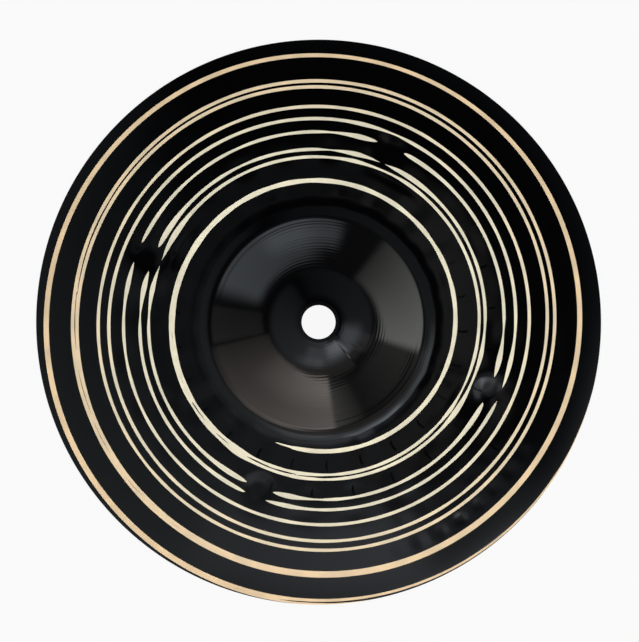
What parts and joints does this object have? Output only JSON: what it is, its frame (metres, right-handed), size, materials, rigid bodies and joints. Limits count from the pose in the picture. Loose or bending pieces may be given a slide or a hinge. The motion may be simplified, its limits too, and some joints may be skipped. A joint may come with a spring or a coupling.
{
  "type": "splash cymbal",
  "caption": "Small thin cymbal with a round bell, a centre hole and a hammered bow, black coated with bare bronze spiral cuts.",
  "frame": {"origin": "on the cymbal's axis, at the level that its rim stands on", "axes": "+Z along the axis, out of the top of the bell; +X and +Y in the plane of the rim, with the four deep hammer blows at 67.6, 158.6, 250.0 and 339.0 degrees from +X towards +Y"},
  "size_m": [0.2032, 0.2032, 0.0199],
  "materials": {
    "black_coating": "gloss black coating over hammered and turned bronze",
    "bare_bronze": "bare bronze, freshly turned and lacquered"
  },
  "bodies": {
    "root": {"cymbal": "black_coating"}
  },
  "joints": []
}
